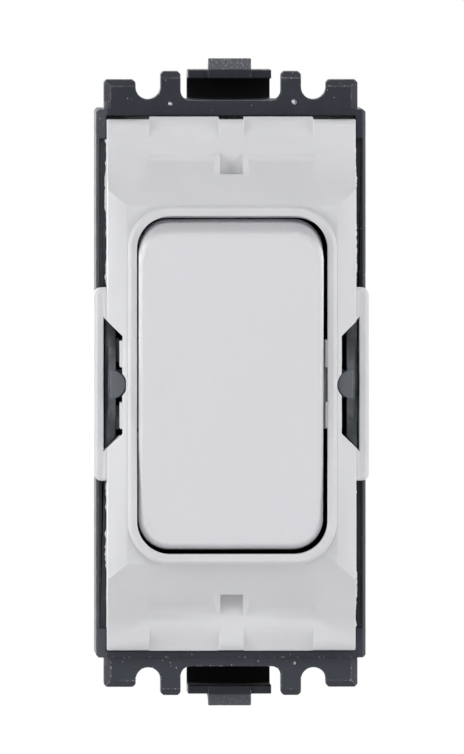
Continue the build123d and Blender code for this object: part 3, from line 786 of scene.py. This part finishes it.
def white_plastic(name):
    """A new material for a white plastic that light goes into a little way, with its tree and shader."""
    finish, tree, shader = new_finish(name)
    shader.inputs["Specular IOR Level"].default_value = 0.3
    shader.inputs["Subsurface Weight"].default_value = 0.2
    shader.inputs["Subsurface Scale"].default_value = 0.4 * MM
    shader.inputs["Subsurface Radius"].default_value = (1.0, 0.9, 0.8)
    return finish, tree, shader


def behind_roll(line):
    """Leaves the rolled front edge as it is, which its smooth shading rounds, and rounds the rest."""
    depths = [front_of_rocker - (v.co - pivot).dot(slide_axis) for v in line.verts]
    return 0.0 if max(depths) < rolled_depth else 1.0


urea, tree, shader = white_plastic("rocker_urea")
drift = patches(tree, 0.06, 1.0, noise=(0.3, 0.7), share=(0.0, 1.0))
gloss = patches(tree, 8.0, 1.0, noise=(0.3, 0.7), share=(0.27, 0.29))
coated(tree, shader, tinted(tree, drift, urea_white, urea_grey), gloss)
embossed(tree, shader, grain(tree, 6.0, 1.0), depth=0.001)
clad(
    moulded("rocker", edge=0.08 * MM, share=behind_roll),
    urea, "rocker", "rocker")


# Front frame: a satin white moulding with ramped ends, a ring round the opening, and an ear and a
# strap on each side that snaps over the base. The spark-eroded mould left a faint texture.
satin_white = (0.732, 0.735, 0.757)
satin_grey = (0.7, 0.702, 0.722)
satin_edge = (0.755, 0.757, 0.772)
pad_tip, pad_roll, pad_growth = 24.05 * MM, 0.7 * MM, 0.2 * MM
pad_front, plateau_front = 5.0 * MM, 8.5 * MM
cheek_tip, cheek_hidden, cheek_half = 10.18 * MM, 9.97 * MM, 4.05 * MM
ramp_foot = 21.1 * MM
cove_inner, cove_outer, cove_flare = 1.68 * MM, 7.45 * MM, 0.45 * MM
fit = 0.02 * MM


def fitted(shape):
    """Lengthens the lower pads, flares the coves and draws in the tips of the right bearing cheek."""
    for point in shape.verts:
        x, down, front = point.co.x, -point.co.z, -point.co.y
        if abs(abs(down) - ramp_foot) < fit and abs(front - pad_front) < fit:
            for side, flare in ((cove_inner, -cove_flare), (cove_outer, cove_flare)):
                if abs(abs(x) - side) < fit:
                    point.co.x += flare if x > 0 else -flare
        along_roll = down - (pad_tip - pad_roll)
        from_axis = Vector((along_roll, front - pad_front + pad_roll)).length
        on_roll = along_roll > 0 and abs(from_axis - pad_roll) < fit
        if on_roll or abs(down - pad_tip) < fit:
            point.co.z -= pad_growth * along_roll / pad_roll
        if abs(x - cheek_tip) < fit and abs(down) < cheek_half:
            point.co.x = cheek_hidden


def outer_edges(line):
    """Rounds the edges that stand out, but not the plateau's, which is too narrow for it."""
    on_plateau = all(abs(-v.co.y - plateau_front) < fit for v in line.verts)
    return 1.0 if line.is_convex and not on_plateau else 0.0


satin, tree, shader = white_plastic("frame_polycarbonate")
drift = patches(tree, 0.15, 3.0, noise=(0.35, 0.65), share=(0.0, 1.0))
# The rounded edges are painted paler in patches.
pale_edge_patches = times(tree, edge_share(tree), patches(tree, 1.0, 2.0, noise=(0.4, 0.6), share=(0.2, 0.9)))
gloss = patches(tree, 0.8, 3.0, noise=(0.3, 0.7), share=(0.36, 0.48))
colour = tinted(tree, drift, satin_white, satin_grey)
coated(tree, shader, tinted(tree, pale_edge_patches, colour, satin_edge), gloss)
embossed(tree, shader, grain(tree, 7.0, 2.0), depth=0.008)
clad(
    moulded("front_frame", edge=0.08 * MM, share=outer_edges, reshape=fitted, merge=0.03 * MM),
    satin, "module", "front_frame")


# Bearing lips: two short ribs of the frame in the gap beside the rocker, on the right, with a lower
# one between them over the trunnion. They are moulded with the ring, and keep the rocker centred.
lip_inner, lip_outer = 8.46, 8.84
lip_foot = 7.1
lip_spans = ((1.62, 4.14, 8.95), (-1.5, 1.62, 7.4), (-3.88, -1.5, 8.95))
lip_gap = 0.01
lips = bmesh.new()
for low, high, front in lip_spans:
    block(lips, (lip_inner, lip_outer), (lip_foot, front), (low + lip_gap, high - lip_gap))
moulded_on("bearing_lips", lips, satin)


# Upper lip: a thin ledge of the frame, low in the gap above the rocker. It is moulded on the wall of
# the opening, dies away round both corners, and keeps dust and light out of the mechanism.
ledge_side, ledge_end, ledge_corner = 8.8, 15.33, 3.0
ledge_width, ledge_sunk = 0.15, 0.05
ledge_front, ledge_back = 7.6, 7.35
ledge_start, ledge_steps = 0.12, 10
ledge_turns = [
    pi / 2 * (ledge_start + (1 - ledge_start) * step / ledge_steps) for step in range(ledge_steps + 1)]
ledge_path = [(1, turn) for turn in ledge_turns] + [(-1, turn) for turn in reversed(ledge_turns)]
ledge = bmesh.new()
stations = []
for side, turn in ledge_path:
    edge = -ledge_width * sin(turn)**2
    section = []
    for reach, front in (
            (ledge_sunk, ledge_front), (edge, ledge_front), (edge, ledge_back), (ledge_sunk, ledge_back)):
        x = ledge_side - ledge_corner + (ledge_corner + reach) * cos(turn)
        z = ledge_end - ledge_corner + (ledge_corner + reach) * sin(turn)
        section.append(ledge.verts.new(Vector((side * x, -front, z)) * MM))
    stations.append(section)
joined(ledge, stations)
moulded_on("upper_lip", ledge, satin)


# Mould flash: a ragged fin of the frame's plastic, squeezed out where the two halves of its mould
# met, along the foot of both sides above and below the ears.
flash_inner, flash_root = 11.25, 0.05
flash_front, flash_tip, flash_back = 3.34, 3.27, 3.24
flash_near, flash_far = 9.0, 22.2
flash_step = 0.12
flash_least, flash_most = 0.03, 0.2
swell_loss, swell_gain = 0.28, 0.27
flash_count = int((flash_far - flash_near) / flash_step)
draw = random.Random(11)
fin = bmesh.new()
for side in (-1, 1):
    for end in (-1, 1):
        swell = 0.5
        stations = []
        for step in range(flash_count + 1):
            swell = min(1.0, max(0.0, swell + draw.uniform(-swell_loss, swell_gain)))
            tip = flash_inner + flash_root + flash_least + (flash_most - flash_least) * swell**2
            z = end * (flash_near + step * flash_step)
            corners = ((flash_inner, flash_front), (tip, flash_tip), (flash_inner, flash_back))
            stations.append([fin.verts.new(Vector((side * x, -y, z)) * MM) for x, y in corners])
        joined(fin, stations)
moulded_on("mould_flash", fin, satin)
